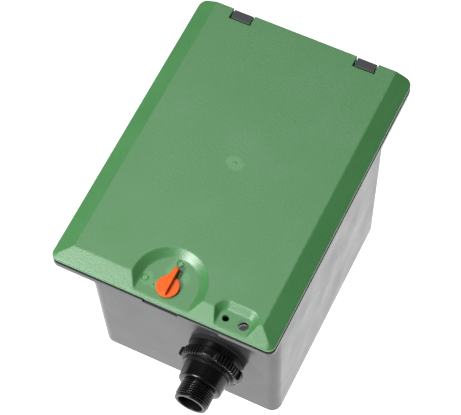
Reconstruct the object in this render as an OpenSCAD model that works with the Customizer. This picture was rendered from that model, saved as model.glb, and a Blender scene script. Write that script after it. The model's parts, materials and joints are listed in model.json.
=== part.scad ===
// In-ground valve box for one irrigation valve: a tapered box with a hinged, lockable lid,
// telescopic pipe connectors and a battery controlled diaphragm valve inside.
// The origin is on the ground under the middle of the box, +Y points to the hinge.

/* [Lid] */
// Width of the lid
lid_w = 170; // [168:1:174]
// Length of the lid, front to back
lid_l = 236; // [232:1:240]
// Height of the lid from its lower edge to its top
lid_h = 7.5; // [7.2:0.1:8]
// Height of the lid's vertical edge
lid_edge = 2.2; // [2:0.1:2.6]
// Width of the bevel along the front and both sides
bevel = 12.9; // [11:0.1:14]
// Thickness of the lid's shell
lid_wall = 2.6; // [2.2:0.1:2.8]
// Depth of the recesses for the lock and for the cable holes
recess_depth = 4.3; // [4:0.1:4.5]

/* [Box] */
// Height of the box up to the top of its flange
box_h = 174.5; // [170:0.5:180]
// Width of the box at its mouth
mouth_w = 154; // [152:1:156]
// Length of the box at its mouth
mouth_l = 189.5; // [188:0.5:191]
// Width of the box at its floor
floor_w = 148.4; // [146:0.2:150]
// Length of the box at its floor
floor_l = 181.7; // [180:0.1:184]
// Wall thickness of the box
wall = 2.5; // [2:0.1:3]
// Gap between the flange and the lid's lower edge
lid_gap = 3.5; // [3:0.1:4]

/* [Lock] */
// Radius of the knob's disc
knob_r = 8.2; // [7.5:0.1:9]
// Reach of the knob's pointer from its axis
pointer = 15; // [13:0.5:16]
// Length of the bar that hooks under the flange
bar_l = 13; // [12:0.5:14]
// Width of the bar that hooks under the flange
bar_w = 5; // [4:0.5:5.5]

/* [Connectors] */
// Outer radius of the G 3/4 thread
thread_r = 13.22; // [13.2:0.01:13.24]
// Bore radius of the threaded end
port_bore = 9.8; // [9:0.1:10]
// Radius of the telescopic tube
tube_r = 17.7; // [17.5:0.1:17.8]
// Outer radius of the sleeve, where the clamping nut turns
sleeve_r = 20; // [19.8:0.1:20.2]
// Distance of the threaded ends from the middle of the box
reach = 139; // [138:1:140]
// Sideways place of the pipe axis
port_x = 28.5; // [27:0.5:30]
// Height of the pipe axis
port_z = 79; // [77:1:81]

/* [Hidden] */
// Running clearance of turning and sliding fits
fit = 0.05;
// Overcut that keeps cuts clear of a face
eps = 1;

// Heights of the lid
lid_z0 = box_h + lid_gap;
lid_z1 = lid_z0 + lid_edge;
lid_top = lid_z0 + lid_h;
recess_z = lid_top - recess_depth;
pan_wall = 2.4;
lid_corner = 5.5;

// Front and back edges of the lid
lid_front = -lid_l / 2;
lid_back = lid_l / 2;

// Box outlines; the mouth lies a little further back than the floor
mouth_y = 1.75;
floor_y = 0.15;
mouth_front = mouth_y - mouth_l / 2;
box_corner = 8;
foot_inset = 1.5;
flange_t = 2.5;
skirt_h = 4.5;
skirt_t = 2;
upstand_h = 3.9;

// Drain slots in the floor
drain_w = 30;
drain_l = 6;
drain_x = [-45, 0, 45];
drain_y = [-60, -20, 20, 60];

// Recess for the lock
lock_y = lid_front + 13.5;
recess_y = lid_front + 15.5;
recess_floor_r = 20.8;
recess_top_r = 27;
recess_front = 20;
shaft_r = 4;
neck_r = 3.2;
bar_t = 3;
slot_room = 2;
finger_w = 27;
finger_d = 2.5;

// Recess for the two cable holes
cable_x = 52.4;
cable_floor_w = 24.2;
cable_top_w = 33;
cable_floor_y = lid_front + 15.6;
cable_top_y = lid_front + 20.8;
cable_corner = 4.5;
cable_y = lid_front + 9.6;
cable_pitch = 13.3;
cable_small_r = 2.4;
cable_large_r = 3.6;
duct_r = 3;
duct_h = 6;
duct_z = 160;
duct_wall = 1.8;
relief_w = 32;

// Hinge
hinge_x = 49.5;
hinge_y = lid_back - 4;
hinge_z = lid_top - 4;
notch_w = 17;
notch_d = 9;
clip_w = 15;
clip_r = 4.6;
clip_top = 3.3;
clip_back = 4;
pin_r = 1.5;
pin_l = 26;
ear_w = 6;
peg = [10, 4.4, 4];

// Connector places along the pipe axis, measured from the middle of the box
front_pad = 93;
back_pad = 94.8;
pad_r = 23.2;
pad_t = 5;
washer_r = 22.5;
washer_t = 3;
nut_skirt_r = 21.5;
nut_skirt = 5.8;
nut_r = 22.8;
nut_l = 7.4;
nut_lobe_r = 3.5;
nut_lobes = 4;
sleeve_end = 19.3;
sleeve_bore = tube_r + fit;
sleeve_stop = 60;
tail_r = 13;
tail_end = 47.5;
oring_y = 70.7;
oring_r = 1.5;

// Valve
union_r = 16.6;
union_wall = 4.4;
valve_end = 46;
bowl_r = 25;
bowl_bottom = 62;
cap_r = 31;
seat_z = 98;
cap_z = 103;
skin = 2;
screw_circle = 27.5;
screw_count = 6;
lift = 3;
bonnet_roof = 121;
boss_z = 124;
boss_r = 10;
boss_top = 129;
coil_r = 13.5;
coil_z = 129.3;
coil_top = 149;
core_r = 4;
plunger_z = 124.8;
plunger_top = 137;
core_top = 145;

// Control unit
unit_x = 24;
unit_w = 84;
unit_l = 68;
unit_z = 147;
unit_h = 20;
unit_wall = 2;
cover_t = 4.5;
battery = [26.5, 48.5, 17.5];
battery_x = -1;
battery_z = 149.2;
door = [32.5, 56, 2];
door_x = -0.75;
door_z = 169.8;
button_x = 42;
button_y = -16;
button_r = 7;
board_z = 152;
board_t = 1.6;
cover_screw_x = [22, 60];
cover_screw_y = [-28, 28];

$fn = 64;

// ---------- shared shapes ----------

// Rectangle with round corners, centred
module rounded_rect(w, l, r) {
    square([w - 2 * r, l], center = true);
    square([w, l - 2 * r], center = true);
    for (x = [-1, 1], y = [-1, 1])
        translate([x * (w / 2 - r), y * (l / 2 - r)]) circle(r = r);
}

// Thin or thick plate with round corners, its lower face at z
module plate(w, l, r, z, h) {
    translate([0, 0, z]) linear_extrude(h) rounded_rect(w, l, r);
}

// Half-round outline, open and straight towards the front
module arch(r) {
    circle(r = r);
    translate([-r, -recess_front]) square([2 * r, recess_front]);
}

// Ring or tube from z to z + h
module ring(r, bore, z, h) {
    difference() {
        translate([0, 0, z]) cylinder(r = r, h = h);
        translate([0, 0, z - eps]) cylinder(r = bore, h = h + 2 * eps);
    }
}

// Turns +Z to point out of the front (side -1) or the back (side 1) along the pipe axis
module to_port(side) {
    translate([port_x, 0, port_z]) rotate([-90 * side, 0, 0]) children();
}

// Wound wire spring from z to z + h: rings of points swept along a helix
module spring(r, wire, turns, z, h) {
    sides = 8;
    steps = 16 * turns;
    points = [
        for (i = [0 : steps])
            let (a = 360 * turns * i / steps, mid = z + wire + (h - 2 * wire) * i / steps)
                for (j = [0 : sides - 1])
                    let (b = 360 * j / sides, out = r + wire * cos(b))
                        [out * cos(a), out * sin(a), mid + wire * sin(b)]
    ];
    skin_faces = [
        for (i = [0 : steps - 1], j = [0 : sides - 1])
            let (k = (j + 1) % sides, here = i * sides, next = here + sides)
                each [[here + j, here + k, next + k], [here + j, next + k, next + j]]
    ];
    first_end = [for (j = [0 : sides - 1]) sides - 1 - j];
    last_end = [for (j = [0 : sides - 1]) steps * sides + j];
    polyhedron(points, concat(skin_faces, [first_end, last_end]));
}

// ---------- box ----------

// Solid tapered block; the inset makes the hollow inside it
module box_block(inset, z0, foot) {
    hull($fn = 32) {
        translate([0, floor_y, 0])
            plate(floor_w - 2 * (inset + foot), floor_l - 2 * (inset + foot), box_corner - inset, z0, 0.1);
        translate([0, floor_y, 0])
            plate(floor_w - 2 * inset, floor_l - 2 * inset, box_corner - inset, z0 + foot_inset, 0.1);
        translate([0, mouth_y, 0])
            plate(mouth_w - 2 * inset, mouth_l - 2 * inset, box_corner - inset, box_h - 0.1, 0.1);
    }
}

// Flange with a skirt turned down along its edge
module flange() {
    difference() {
        plate(lid_w, lid_l, lid_corner, box_h - skirt_h, skirt_h);
        plate(lid_w - 2 * skirt_t, lid_l - 2 * skirt_t, lid_corner - skirt_t, box_h - skirt_h - eps,
              skirt_h - flange_t + eps);
        translate([0, mouth_y, 0])
            plate(mouth_w - 2 * wall, mouth_l - 2 * wall, box_corner - wall, box_h - flange_t - eps, 2 * flange_t);
    }
}

module upstand() {
    translate([0, mouth_y, 0]) difference() {
        plate(mouth_w, mouth_l, box_corner, box_h - eps, upstand_h + eps);
        plate(mouth_w - 2 * wall, mouth_l - 2 * wall, box_corner - wall, box_h - 2 * eps, upstand_h + 4 * eps);
    }
}

// Opening in the front of the flange for the lock bar, with a notch for a finger in its edge
module lock_slot() {
    translate([0, lock_y, box_h])
        cube([bar_w + slot_room, bar_l + slot_room, 4 * flange_t], center = true);
    translate([0, lid_front, box_h])
        cube([finger_w, 2 * finger_d, 2 * flange_t], center = true);
}

// The skirt is cut away above the pipe connector, only a thin edge stays
module skirt_relief() {
    translate([port_x - relief_w / 2, lid_front - eps, box_h - skirt_h - eps])
        cube([relief_w, skirt_t + eps, skirt_h - flange_t / 2 + eps]);
}

// Duct under the flange that leads a cable from the lid's small hole into the box
module cable_duct(grow, end, top) {
    r = duct_r + grow;
    translate([cable_x - cable_pitch / 2, cable_y, duct_z - grow]) {
        cylinder(r = r, h = top - duct_z + grow);
        translate([-r, 0, 0]) cube([2 * r, end - cable_y, duct_h + 2 * grow]);
    }
}

module clip_holes() {
    for (side = [-1, 1])
        translate([side * hinge_x, hinge_y - 2.2, box_h - 2])
            cube([peg[0] + 0.2, peg[1] + 0.2, 3 * flange_t], center = true);
}

module box_body() {
    color([0.6, 0.605, 0.62]) difference() {
        union() {
            difference() {
                box_block(0, 0, foot_inset);
                box_block(wall, wall, foot_inset);
                translate([0, mouth_y, 0])
                    plate(mouth_w - 2 * wall, mouth_l - 2 * wall, box_corner - wall, box_h - 0.5, 1);
            }
            flange();
            upstand();
            cable_duct(duct_wall, mouth_front + wall / 2, box_h - flange_t / 2);
            to_port(-1) translate([0, 0, front_pad - pad_t]) cylinder(r = pad_r, h = pad_t);
            to_port(1) translate([0, 0, back_pad - pad_t]) cylinder(r = pad_r, h = pad_t);
        }
        for (side = [-1, 1])
            to_port(side) translate([0, 0, front_pad - 4 * pad_t]) cylinder(r = sleeve_r + 0.3, h = 8 * pad_t);
        lock_slot();
        clip_holes();
        cable_duct(0, mouth_front + 2 * wall, box_h + eps);
        translate([cable_x + cable_pitch / 2, cable_y, box_h - 2 * flange_t])
            cylinder(r = cable_large_r + 0.6, h = 4 * flange_t);
        skirt_relief();
        for (x = drain_x, y = drain_y)
            translate([x, y, 0]) cube([drain_w, drain_l, 4 * wall], center = true);
    }
}

// ---------- hinge ----------

// Clip that stands on the flange and carries the lid's pin
module hinge_clip(side) {
    color([0.3, 0.29, 0.28]) translate([side * hinge_x, hinge_y, hinge_z]) difference() {
        union() {
            intersection() {
                rotate([0, 90, 0]) cylinder(r = clip_r, h = clip_w, center = true);
                translate([-clip_w, -2 * clip_r, -2 * clip_r])
                    cube([2 * clip_w, 2 * clip_r + clip_back, 2 * clip_r + clip_top]);
            }
            translate([-clip_w / 2, -clip_r, box_h - hinge_z])
                cube([clip_w, clip_r + clip_back, hinge_z - box_h]);
            translate([-peg[0] / 2, -2.2 - peg[1] / 2, box_h - hinge_z - peg[2]])
                cube([peg[0], peg[1], peg[2] + eps]);
        }
        rotate([0, 90, 0]) cylinder(r = pin_r + fit, h = 2 * clip_w, center = true);
    }
}

module hinge_clip_left() { hinge_clip(-1); }
module hinge_clip_right() { hinge_clip(1); }

module hinge_pin(side) {
    color([0.75, 0.76, 0.78]) translate([side * hinge_x, hinge_y, hinge_z])
        rotate([0, 90, 0]) cylinder(r = pin_r, h = pin_l, center = true);
}

module hinge_pin_left() { hinge_pin(-1); }
module hinge_pin_right() { hinge_pin(1); }

// ---------- lid ----------

// Bevelled block: the bevel runs along the front and both sides, the back is upright
module lid_block() {
    top_l = lid_l - bevel;
    hull($fn = 32) {
        plate(lid_w, lid_l, lid_corner, lid_z0, lid_edge);
        translate([0, bevel / 2, 0])
            plate(lid_w - 2 * bevel, top_l, 1, lid_top - 0.1, 0.1);
    }
}

module lid_hollow() {
    top_l = lid_l - bevel - lid_wall;
    hull($fn = 32) {
        plate(lid_w - 2 * lid_wall, lid_l - 2 * lid_wall, lid_corner - 2, lid_z0 - eps, eps + 0.6);
        translate([0, (bevel - lid_wall) / 2, 0])
            plate(lid_w - 2 * bevel, top_l, 1, lid_top - lid_wall - 0.1, 0.1);
    }
}

// Sloped half-round recess or the pan under it, widened by grow
module lock_recess(grow, z0, z1) {
    slope = (recess_top_r - recess_floor_r) / recess_depth;
    hull($fn = 32) translate([0, recess_y, 0]) {
        translate([0, 0, z0]) linear_extrude(0.1) arch(recess_floor_r + grow + slope * max(0, z0 - recess_z));
        translate([0, 0, z1]) linear_extrude(0.1) arch(recess_floor_r + grow + slope * (z1 - recess_z));
    }
}

module cable_recess(grow, z0, z1) {
    part = (z1 - recess_z) / recess_depth;
    w1 = cable_floor_w + part * (cable_top_w - cable_floor_w);
    y1 = cable_floor_y + part * (cable_top_y - cable_floor_y);
    front = lid_front - 4;
    hull($fn = 32) {
        translate([cable_x, (cable_floor_y + grow + front) / 2, 0])
            plate(cable_floor_w + 2 * grow, cable_floor_y + grow - front, cable_corner, z0, 0.1);
        translate([cable_x, (y1 + grow + front) / 2, 0])
            plate(w1 + 2 * grow, y1 + grow - front, cable_corner, z1, 0.1);
    }
}

// Thick ends of the hinge notch, with blind holes for the pin
module hinge_ears() {
    for (side = [-1, 1])
        translate([side * hinge_x - notch_w / 2 - ear_w, lid_back - notch_d - 2.2, lid_z0])
            cube([notch_w + 2 * ear_w, notch_d + 2.2, lid_h - 2]);
}

module lid_ribs() {
    rib_w = 1.6;
    rib_z = lid_top - lid_wall - 2.4;
    for (y = [-60, -20, 20, 60])
        translate([-70, y - rib_w / 2, rib_z]) cube([140, rib_w, 3.4]);
    for (x = [-48, -16, 16, 48])
        translate([x - rib_w / 2, -72, rib_z]) cube([rib_w, 178, 3.4]);
}

module lid() {
    color([0.43, 0.63, 0.46]) difference() {
        union() {
            difference() {
                lid_block();
                lid_hollow();
            }
            intersection() {
                lid_block();
                union() {
                    lock_recess(2.4, recess_z - pan_wall, lid_top);
                    cable_recess(2.4, recess_z - pan_wall, lid_top);
                }
            }
            hinge_ears();
            lid_ribs();
        }
        lock_recess(0, recess_z, lid_top + eps);
        cable_recess(0, recess_z, lid_top + eps);
        translate([0, lock_y, lid_z0]) cylinder(r = shaft_r + fit, h = lid_h);
        translate([cable_x - cable_pitch / 2, cable_y, lid_z0]) cylinder(r = cable_small_r, h = lid_h);
        translate([cable_x + cable_pitch / 2, cable_y, lid_z0]) cylinder(r = cable_large_r, h = lid_h);
        for (side = [-1, 1]) translate([side * hinge_x, hinge_y, hinge_z]) {
            translate([-notch_w / 2, lid_back - notch_d - hinge_y, -lid_h]) cube([notch_w, 2 * notch_d, 2 * lid_h]);
            rotate([0, 90, 0]) cylinder(r = pin_r + 0.02, h = pin_l + 1, center = true);
        }
    }
}

// ---------- lock ----------

module lock_knob() {
    disc_z = recess_z + 0.3;
    disc_t = 2;
    grip_w = 3.4;
    grip_h = 2.8;
    color([1, 0.43, 0.2]) translate([0, lock_y, 0]) difference() {
        union() {
            translate([0, 0, disc_z]) cylinder(r = knob_r, h = disc_t);
            translate([-grip_w / 2, -knob_r + 0.8, disc_z + disc_t - 0.1])
                cube([grip_w, knob_r + pointer - 0.8, grip_h + 0.1]);
            hull() {
                translate([-5, 5.5, disc_z]) cube([5, 1, disc_t]);
                translate([-grip_w / 2, pointer - 1, disc_z]) cube([grip_w, 1, disc_t]);
            }
            translate([0, 0, box_h + 0.5]) cylinder(r = shaft_r, h = disc_z - box_h);
        }
        translate([0, 0, box_h]) cylinder(r = 1.4, h = 5);
    }
}

module lock_bar() {
    bar_z = box_h - flange_t - 0.5 - bar_t;
    color([0.2, 0.2, 0.21]) translate([0, lock_y, 0]) difference() {
        union() {
            translate([0, 0, bar_z + bar_t / 2]) cube([bar_w, bar_l, bar_t], center = true);
            translate([0, 0, bar_z + bar_t - 0.5]) cylinder(r = neck_r, h = box_h + 1 - bar_z - bar_t);
        }
        translate([0, 0, bar_z - eps]) cylinder(r = 1.5, h = 12);
    }
}

module lock_screw() {
    bar_z = box_h - flange_t - 0.5 - bar_t;
    color([0.75, 0.76, 0.78]) translate([0, lock_y, bar_z]) difference() {
        union() {
            translate([0, 0, -1.5]) cylinder(r = 2.6, h = 1.5);
            translate([0, 0, -0.1]) cylinder(r = 1.38, h = box_h + 4.5 - bar_z);
        }
        for (turn = [0, 90])
            rotate([0, 0, turn]) translate([0, 0, -1.5]) cube([3, 0.8, 1.2], center = true);
    }
}

// ---------- telescopic connectors ----------

module sleeve(side, pad) {
    color([0.09, 0.09, 0.1]) to_port(side) difference() {
        union() {
            translate([0, 0, sleeve_stop - 3]) cylinder(r = sleeve_r, h = pad + 16.4 - sleeve_stop + 3);
            translate([0, 0, pad]) cylinder(r = sleeve_r - 0.5, h = sleeve_end);
            translate([0, 0, pad - pad_t - 3]) cylinder(r = pad_r - 1, h = 3);
            translate([0, 0, sleeve_stop - 6]) cylinder(r1 = tail_r + 2, r2 = sleeve_r, h = 3);
            translate([0, 0, tail_end]) cylinder(r = tail_r, h = sleeve_stop - tail_end);
            translate([0, 0, tail_end]) cylinder(r = union_r - 1.1, h = 2.5);
        }
        translate([0, 0, sleeve_stop]) cylinder(r = sleeve_bore, h = pad);
        translate([0, 0, tail_end - eps]) cylinder(r = 10, h = sleeve_stop);
    }
}

module inlet_sleeve() { sleeve(-1, front_pad); }
module outlet_sleeve() { sleeve(1, back_pad); }

module washer(side, pad) {
    color([0.07, 0.07, 0.08]) to_port(side) ring(washer_r, sleeve_r + 0.1, pad, washer_t);
}

module inlet_washer() { washer(-1, front_pad); }
module outlet_washer() { washer(1, back_pad); }

// Clamping nut: a plain skirt, then a head with lobes and chamfered edges
module clamp_nut(side, pad) {
    head_z = pad + washer_t + 0.2 + nut_skirt;
    color([0.05, 0.05, 0.06]) to_port(side) difference() {
        union() {
            translate([0, 0, pad + washer_t + 0.2]) cylinder(r = nut_skirt_r, h = nut_skirt + 1);
            translate([0, 0, head_z]) cylinder(r1 = nut_r - 1, r2 = nut_r, h = 1);
            translate([0, 0, head_z + 1]) cylinder(r = nut_r, h = nut_l - 2);
            translate([0, 0, head_z + nut_l - 1]) cylinder(r1 = nut_r, r2 = nut_r - 1, h = 1);
            for (i = [0 : nut_lobes - 1])
                rotate([0, 0, i * 360 / nut_lobes]) translate([nut_r - 1.5, 0, head_z])
                    cylinder(r = nut_lobe_r, h = nut_l);
        }
        translate([0, 0, pad]) cylinder(r = sleeve_r + fit, h = 30);
    }
}

module inlet_nut() { clamp_nut(-1, front_pad); }
module outlet_nut() { clamp_nut(1, back_pad); }

// Telescopic tube: sliding part with a groove for its seal, tapered neck, collar and threaded end
module tube(side) {
    inner = 66;
    groove = oring_r + 0.2;
    color([0.05, 0.05, 0.06]) to_port(side) rotate_extrude() polygon([
        [tail_r, inner], [tube_r, inner],
        [tube_r, oring_y - groove], [tube_r - 2 * oring_r, oring_y - groove],
        [tube_r - 2 * oring_r, oring_y + groove], [tube_r, oring_y + groove],
        [tube_r, reach - 26.7], [tube_r - 0.8, reach - 17], [tube_r - 0.8, reach - 15.8],
        [tube_r - 1.5, reach - 14.6], [thread_r - 1, reach - 14.6], [thread_r - 1, reach - 13.8],
        [thread_r, reach - 13], [thread_r, reach - 1.4], [thread_r - 1, reach],
        [port_bore + 0.4, reach], [port_bore, reach - 0.4], [port_bore, reach - 15],
        [tail_r, reach - 20]
    ]);
}

module inlet_tube() { tube(-1); }
module outlet_tube() { tube(1); }

module oring(side) {
    color([0.05, 0.05, 0.05]) to_port(side)
        rotate_extrude() translate([tube_r - oring_r, oring_y]) circle(r = oring_r, $fn = 24);
}

module inlet_oring() { oring(-1); }
module outlet_oring() { oring(1); }

module seal(side) {
    color([0.08, 0.08, 0.08]) to_port(side) ring(union_r - 1.1, 10, valve_end, tail_end - valve_end);
}

module inlet_seal() { seal(-1); }
module outlet_seal() { seal(1); }

module union_nut(side) {
    nut_z = valve_end - 10;
    ribs = 12;
    color([0.12, 0.12, 0.13]) to_port(side) difference() {
        union() {
            translate([0, 0, nut_z]) cylinder(r = union_r + union_wall, h = 17);
            for (i = [0 : ribs - 1])
                rotate([0, 0, i * 360 / ribs]) translate([union_r + union_wall - 0.6, 0, nut_z + 1])
                    cylinder(r = 1.6, h = 15, $fn = 16);
        }
        translate([0, 0, nut_z - eps]) cylinder(r = union_r + fit, h = 14 + eps);
        translate([0, 0, nut_z]) cylinder(r = tail_r + 0.3, h = 20);
    }
}

module inlet_union_nut() { union_nut(-1); }
module outlet_union_nut() { union_nut(1); }

// ---------- valve ----------

module at_valve(z) {
    translate([port_x, 0, z]) children();
}

// The same hole on every screw of the valve's cap
module screw_ring(r, z, h) {
    for (i = [0 : screw_count - 1])
        rotate([0, 0, i * 360 / screw_count]) translate([screw_circle, 0, z]) cylinder(r = r, h = h);
}

module valve_body() {
    color([0.16, 0.16, 0.17]) difference() {
        union() {
            for (side = [-1, 1]) to_port(side) {
                cylinder(r = union_r - 1, h = valve_end - 2);
                translate([0, 0, valve_end - 12]) cylinder(r = union_r, h = 12);
                translate([0, 0, valve_end - 17]) cylinder(r = union_r + 2, h = 6, $fn = 6);
            }
            at_valve(bowl_bottom) cylinder(r = bowl_r, h = cap_z - bowl_bottom);
            at_valve(bowl_bottom - 4) cylinder(r1 = bowl_r - 6, r2 = bowl_r, h = 4);
            at_valve(cap_z - 6) cylinder(r = cap_r, h = 6);
        }
        to_port(-1) translate([0, 0, 15]) cylinder(r = 9.5, h = valve_end);
        to_port(1) cylinder(r = 9.5, h = valve_end + eps);
        at_valve(port_z) cylinder(r = 9, h = 40);
        at_valve(port_z) translate([0, -16.5, 0]) cylinder(r = 4.4, h = 13);
        at_valve(seat_z - 8) ring(bowl_r - 4, 12, 0, 20);
        at_valve(seat_z) cylinder(r = bowl_r - 4, h = 20);
        at_valve(0) screw_ring(1.8, cap_z - 8, 10);
    }
}

module diaphragm() {
    color([0.05, 0.05, 0.05]) difference() {
        at_valve(0) ring(cap_r, 6.3, cap_z, skin);
        at_valve(0) screw_ring(2.3, cap_z - eps, 4);
    }
}

// Rigid disc that closes on the seat and clamps the middle of the diaphragm
module diaphragm_disc() {
    color([0.85, 0.85, 0.82]) at_valve(0) difference() {
        union() {
            translate([0, 0, seat_z + fit]) cylinder(r = 11, h = cap_z - seat_z - fit);
            translate([0, 0, cap_z - 0.5]) cylinder(r = 6, h = skin + 1);
            translate([0, 0, cap_z + skin]) cylinder(r = 12, h = 2.5);
        }
        translate([0, 0, seat_z - eps]) cylinder(r = 0.8, h = 20, $fn = 16);
    }
}

module diaphragm_spring() {
    color([0.75, 0.76, 0.78]) at_valve(0)
        spring(8, 0.8, 4, cap_z + skin + 2.5, bonnet_roof - cap_z - skin - 2.5);
}

module valve_bonnet() {
    color([0.13, 0.13, 0.14]) at_valve(0) difference() {
        union() {
            translate([0, 0, cap_z + skin]) cylinder(r = cap_r, h = 4);
            translate([0, 0, cap_z + skin]) cylinder(r = bowl_r - 0.5, h = 13);
            translate([0, 0, cap_z + skin + 13]) cylinder(r1 = bowl_r - 0.5, r2 = bowl_r - 4, h = 6);
            translate([0, 0, bonnet_roof]) cylinder(r = boss_r, h = boss_top - bonnet_roof);
            for (i = [0 : screw_count - 1])
                rotate([0, 0, (i + 0.5) * 360 / screw_count])
                    translate([bowl_r - 2, -1, cap_z + skin]) cube([6, 2, 9]);
        }
        translate([0, 0, cap_z]) cylinder(r = bowl_r - 4.5, h = 14);
        translate([0, 0, cap_z]) cylinder(r = 12.4, h = bonnet_roof - cap_z);
        translate([0, 0, boss_z]) cylinder(r = 7, h = 20);
        translate([0, 0, cap_z]) cylinder(r = 1.2, h = 30, $fn = 16);
        screw_ring(2.3, cap_z, 10);
    }
}

module bonnet_screws() {
    head_z = cap_z + skin + 4;
    color([0.75, 0.76, 0.78]) at_valve(0) difference() {
        union() {
            screw_ring(1.75, cap_z - 5, head_z - cap_z + 5.1);
            screw_ring(3, head_z, 2.2);
        }
        for (i = [0 : screw_count - 1], turn = [0, 90])
            rotate([0, 0, i * 360 / screw_count]) translate([screw_circle, 0, head_z + 2.2])
                rotate([0, 0, turn]) cube([3.6, 0.9, 1.6], center = true);
    }
}

// Lever that opens the pilot valve by hand
module bleed_lever() {
    color([0.1, 0.1, 0.11]) at_valve(boss_z + 0.3) difference() {
        union() {
            cylinder(r = boss_r + 3, h = 4.4);
            translate([-33, -4, 0]) cube([24, 8, 3.4]);
            translate([-33, 0, 0]) cylinder(r = 5, h = 4.4);
        }
        translate([0, 0, -eps]) cylinder(r = boss_r + fit, h = 8);
    }
}

module solenoid() {
    color([0.08, 0.08, 0.09]) at_valve(0) difference() {
        union() {
            translate([0, 0, coil_z]) cylinder(r = coil_r, h = coil_top - coil_z);
            translate([0, 0, boss_z + 0.5]) cylinder(r = 6.95, h = 6);
        }
        translate([0, 0, boss_z]) cylinder(r = core_r, h = core_top - boss_z);
    }
}

module plunger() {
    color([0.7, 0.71, 0.73]) at_valve(plunger_z) difference() {
        cylinder(r = core_r - fit, h = plunger_top - plunger_z);
        for (side = [-1, 1])
            translate([side * core_r, 0, 6]) cube([1.2, 1.2, 20], center = true);
    }
}

module plunger_spring() {
    color([0.75, 0.76, 0.78]) at_valve(0)
        spring(2.8, 0.4, 5, plunger_top, core_top - plunger_top);
}

// ---------- control unit ----------

module control_housing() {
    color([0.2, 0.21, 0.22]) difference() {
        translate([unit_x, 0, 0]) difference() {
            plate(unit_w, unit_l, 6, unit_z, unit_h);
            plate(unit_w - 2 * unit_wall, unit_l - 2 * unit_wall, 4, unit_z + unit_wall, unit_h);
        }
        at_valve(unit_z - eps) cylinder(r = coil_r + 0.2, h = 6);
    }
    color([0.2, 0.21, 0.22]) for (x = cover_screw_x, y = cover_screw_y)
        translate([x, y, 0]) ring(3.5, 1.55, unit_z + 1, unit_h - 1);
    color([0.2, 0.21, 0.22]) for (side = [-1, 1])
        translate([58, side * 20, unit_z + 1]) cylinder(r = 3, h = board_z - unit_z - 1);
}

module control_cover() {
    cover_z = unit_z + unit_h;
    color([0.25, 0.26, 0.27]) difference() {
        translate([unit_x, 0, 0]) plate(unit_w, unit_l, 6, cover_z, cover_t);
        translate([battery_x, 0, cover_z])
            cube([battery[0] + 1, battery[1] + 4, 4 * cover_t], center = true);
        translate([unit_x - unit_w / 2 - eps, -door[1] / 2 - 0.3, door_z - 0.3])
            cube([door_x + door[0] / 2 + 0.3 + unit_w / 2 - unit_x + eps, door[1] + 0.6, cover_t]);
        translate([button_x, button_y, cover_z - eps]) cylinder(r = button_r + 0.3, h = 3 * cover_t);
        for (x = cover_screw_x, y = cover_screw_y) {
            translate([x, y, cover_z - eps]) cylinder(r = 1.6, h = 3 * cover_t);
            translate([x, y, cover_z + 2]) cylinder(r = 3.1, h = cover_t);
        }
    }
}

module control_screws() {
    head_z = unit_z + unit_h + 2;
    color([0.75, 0.76, 0.78]) for (x = cover_screw_x, y = cover_screw_y) translate([x, y, head_z]) difference() {
        union() {
            cylinder(r = 2.9, h = 2);
            translate([0, 0, -5]) cylinder(r = 1.5, h = 5.1);
        }
        for (turn = [0, 90]) rotate([0, 0, turn]) translate([0, 0, 2]) cube([3.4, 0.8, 1.6], center = true);
    }
}

module circuit_board() {
    color([0.1, 0.35, 0.2]) difference() {
        union() {
            translate([40, 0, board_z + board_t / 2]) cube([44, 48, board_t], center = true);
            translate([48, 10, board_z + board_t + 1.2]) cube([12, 12, 2.6], center = true);
            translate([28, 12, board_z + board_t + 3]) cube([8, 12, 6.2], center = true);
            translate([button_x, button_y, board_z + board_t + 2.4]) cube([8, 8, 5], center = true);
        }
        for (side = [-1, 1]) translate([58, side * 20, board_z - eps]) cylinder(r = 1.6, h = 4);
    }
}

module battery() {
    color([0.15, 0.15, 0.17]) union() {
        translate([battery_x, 0, battery_z + battery[2] / 2]) cube(battery, center = true);
        for (x = [-6, 6])
            translate([battery_x + x, battery[1] / 2 - 0.1, battery_z + battery[2] / 2])
                rotate([-90, 0, 0]) cylinder(r = 3.5, h = 2.6);
    }
}

module battery_door() {
    color([0.3, 0.31, 0.33]) union() {
        translate([door_x - door[0] / 2, -door[1] / 2, door_z]) cube(door);
        for (i = [0 : 3])
            translate([door_x - door[0] / 2 + 3 + 2.4 * i, -9, door_z + door[2] - 0.1]) cube([1.2, 18, 0.8]);
    }
}

module control_button() {
    color([1, 0.43, 0.2]) translate([button_x, button_y, 0]) union() {
        translate([0, 0, unit_z + unit_h - 2]) cylinder(r = button_r, h = cover_t + 3.5);
        translate([0, 0, unit_z + unit_h - 2]) cylinder(r = button_r + 1.5, h = 1.5);
    }
}

// ---------- assembly ----------

box_body();
hinge_clip_left();
hinge_clip_right();
hinge_pin_left();
hinge_pin_right();
lid();
lock_knob();
lock_bar();
lock_screw();
inlet_sleeve();
inlet_washer();
inlet_nut();
inlet_tube();
inlet_oring();
outlet_sleeve();
outlet_washer();
outlet_nut();
outlet_tube();
outlet_oring();
inlet_seal();
inlet_union_nut();
outlet_seal();
outlet_union_nut();
valve_body();
diaphragm();
diaphragm_disc();
diaphragm_spring();
valve_bonnet();
bonnet_screws();
bleed_lever();
solenoid();
plunger();
plunger_spring();
control_housing();
control_cover();
control_screws();
circuit_board();
battery();
battery_door();
control_button();
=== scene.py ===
"""Looks for the in-ground irrigation valve box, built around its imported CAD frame.

Lengths are in millimetres until a mesh is made; MM turns them into the frame's metres.
"""

import json
import math

import bmesh
import bpy
from mathutils import Matrix, Vector
from mathutils.geometry import delaunay_2d_cdt


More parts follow.
